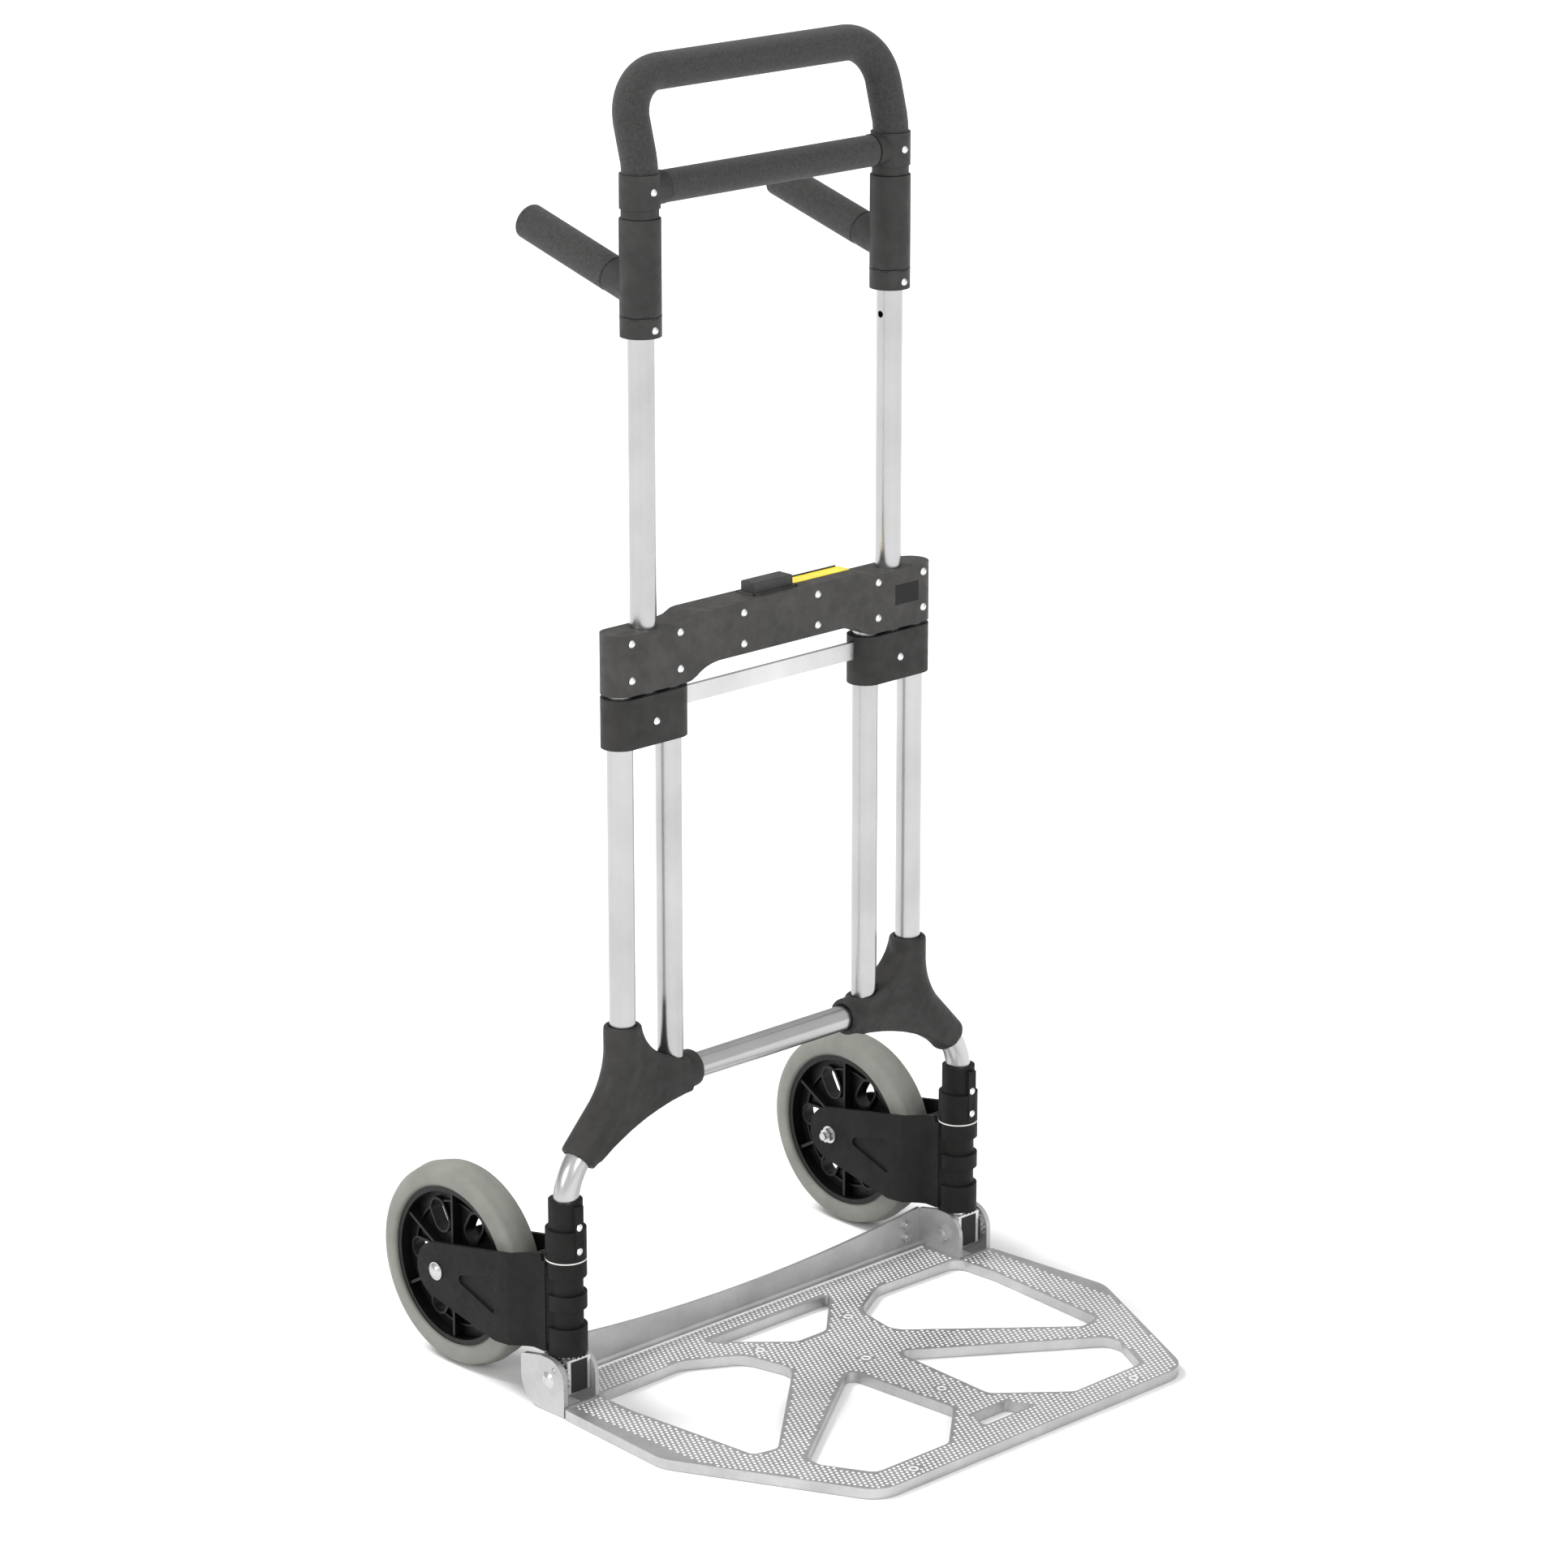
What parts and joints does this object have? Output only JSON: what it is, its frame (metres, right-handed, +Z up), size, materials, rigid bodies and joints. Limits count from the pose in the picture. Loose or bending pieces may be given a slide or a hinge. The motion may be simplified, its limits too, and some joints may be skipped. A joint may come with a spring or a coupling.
{
  "type": "folding luggage cart",
  "caption": "Upright folding hand truck: tubular frame, telescoping foam-gripped handle, swivelling side grips, hinged cast toe plate and fold-in wheels geared to it.",
  "frame": {"origin": "on the floor, under the centre of the bounding box", "axes": "+Z up, -Y towards the toe plate's front edge, +Y towards the wheels, +X to the right of someone who faces +Y"},
  "size_m": [0.607, 0.6136, 1.269],
  "materials": {
    "anodised_tube": "satin clear anodised, fine draw lines along the tube",
    "brushed_bar": "satin extruded flat bar",
    "cast_aluminium": "bead-blasted casting with bright raised dots on top",
    "foot_aluminium": "satin extruded block",
    "gear_metal": "zinc-plated toothed sector",
    "frame_plastic": "dark warm grey moulding with a fine grain",
    "bracket_plastic": "near-black moulding with a fine grain",
    "handle_plastic": "dark grey moulding with a fine grain",
    "plug_plastic": "black moulding",
    "button_plastic": "dark grey moulding, slightly soft to the touch",
    "foam_grip": "closed-cell foam sleeve, dark grey, open fine pores",
    "tyre_rubber": "grey non-marking solid tyre",
    "hub_plastic": "glossy black moulding",
    "zinc_steel": "bright zinc plate",
    "rivet_metal": "polished domed heads",
    "washer_nylon": "pale nylon",
    "label_yellow": "blank coated sticker",
    "badge_black": "blank recessed badge"
  },
  "bodies": {
    "frame": {"left_frame_rail": "anodised_tube", "right_frame_rail": "anodised_tube", "left_guide_tube": "anodised_tube", "right_guide_tube": "anodised_tube", "cross_tube": "anodised_tube", "left_gusset": "frame_plastic", "right_gusset": "frame_plastic", "left_clamp_block": "frame_plastic", "right_clamp_block": "frame_plastic", "clamp_screws": "rivet_metal", "brace_bar": "brushed_bar", "housing_front": "frame_plastic", "housing_back": "frame_plastic", "housing_rivets": "rivet_metal", "blank_label": "label_yellow", "blank_plate": "badge_black", "left_column_collar": "bracket_plastic", "right_column_collar": "bracket_plastic", "collar_rivets": "rivet_metal", "column_washers": "washer_nylon", "left_foot_block": "foot_aluminium", "right_foot_block": "foot_aluminium", "foot_plugs": "plug_plastic", "button_spring": "zinc_steel"},
    "toe_plate": {"toe_plate": "cast_aluminium", "hinge_bolts": "zinc_steel", "hinge_nuts": "zinc_steel", "gear_sectors": "gear_metal", "catch_screws": "zinc_steel"},
    "left_bracket": {"left_wheel_bracket": "bracket_plastic", "left_axle_bolt": "zinc_steel", "left_axle_nut": "zinc_steel"},
    "right_bracket": {"right_wheel_bracket": "bracket_plastic", "right_axle_bolt": "zinc_steel", "right_axle_nut": "zinc_steel"},
    "left_wheel": {"left_tyre": "tyre_rubber", "left_rim": "hub_plastic", "left_bearings": "zinc_steel"},
    "right_wheel": {"right_tyre": "tyre_rubber", "right_rim": "hub_plastic", "right_bearings": "zinc_steel"},
    "handle": {"handle_tube": "anodised_tube", "handle_foam": "foam_grip", "left_handle_tee": "handle_plastic", "right_handle_tee": "handle_plastic", "handle_crossbar": "anodised_tube", "crossbar_foam": "foam_grip", "left_lower_collar": "handle_plastic", "right_lower_collar": "handle_plastic", "handle_screws": "rivet_metal", "handle_end_plugs": "plug_plastic"},
    "left_side_grip": {"left_grip_sleeve": "handle_plastic", "left_grip_tube": "anodised_tube", "left_grip_foam": "foam_grip"},
    "right_side_grip": {"right_grip_sleeve": "handle_plastic", "right_grip_tube": "anodised_tube", "right_grip_foam": "foam_grip"},
    "button": {"release_button": "button_plastic"},
    "left_pin": {"left_lock_pin": "zinc_steel"},
    "right_pin": {"right_lock_pin": "zinc_steel"}
  },
  "joints": [
    {"name": "toe_fold", "type": "hinge", "parent": "frame", "child": "toe_plate", "pos_m": [0, 0.0552, 0.032], "axis": [-1, 0, 0], "range_deg": [0, 90]},
    {"name": "left_bracket_fold", "type": "hinge", "parent": "frame", "child": "left_bracket", "pos_m": [-0.265, 0.0552, 0.1], "axis": [0, 0, -1], "range_deg": [0, 90]},
    {"name": "right_bracket_fold", "type": "hinge", "parent": "frame", "child": "right_bracket", "pos_m": [0.265, 0.0552, 0.1], "axis": [0, 0, 1], "range_deg": [0, 90]},
    {"name": "left_wheel_spin", "type": "hinge", "parent": "left_bracket", "child": "left_wheel", "pos_m": [-0.265, 0.2052, 0.1016], "axis": [1, 0, 0], "continuous": true},
    {"name": "right_wheel_spin", "type": "hinge", "parent": "right_bracket", "child": "right_wheel", "pos_m": [0.265, 0.2052, 0.1016], "axis": [1, 0, 0], "continuous": true},
    {"name": "handle_slide", "type": "slide", "parent": "frame", "child": "handle", "axis": [0, 0, -1], "range_m": [0, 0.2665]},
    {"name": "left_grip_swivel", "type": "hinge", "parent": "handle", "child": "left_side_grip", "pos_m": [-0.16, 0.0552, 1.059], "axis": [0, 0, -1], "range_deg": [0, 90]},
    {"name": "right_grip_swivel", "type": "hinge", "parent": "handle", "child": "right_side_grip", "pos_m": [0.16, 0.0552, 1.059], "axis": [0, 0, 1], "range_deg": [0, 90]},
    {"name": "button_press", "type": "slide", "parent": "frame", "child": "button", "axis": [0, 0, -1], "range_m": [-0.004, 0.003], "stiffness_N_per_m": 600, "deforming": ["button_spring"]},
    {"name": "left_pin_draw", "type": "slide", "parent": "frame", "child": "left_pin", "axis": [1, 0, 0], "range_m": [-0.004, 0.003]},
    {"name": "right_pin_draw", "type": "slide", "parent": "frame", "child": "right_pin", "axis": [-1, 0, 0], "range_m": [-0.004, 0.003]}
  ],
  "couplings": [
    {"joint": "left_bracket_fold", "follows": "toe_fold", "ratio": 1},
    {"joint": "right_bracket_fold", "follows": "toe_fold", "ratio": 1},
    {"joint": "left_pin_draw", "follows": "button_press", "ratio": 1},
    {"joint": "right_pin_draw", "follows": "button_press", "ratio": 1}
  ]
}
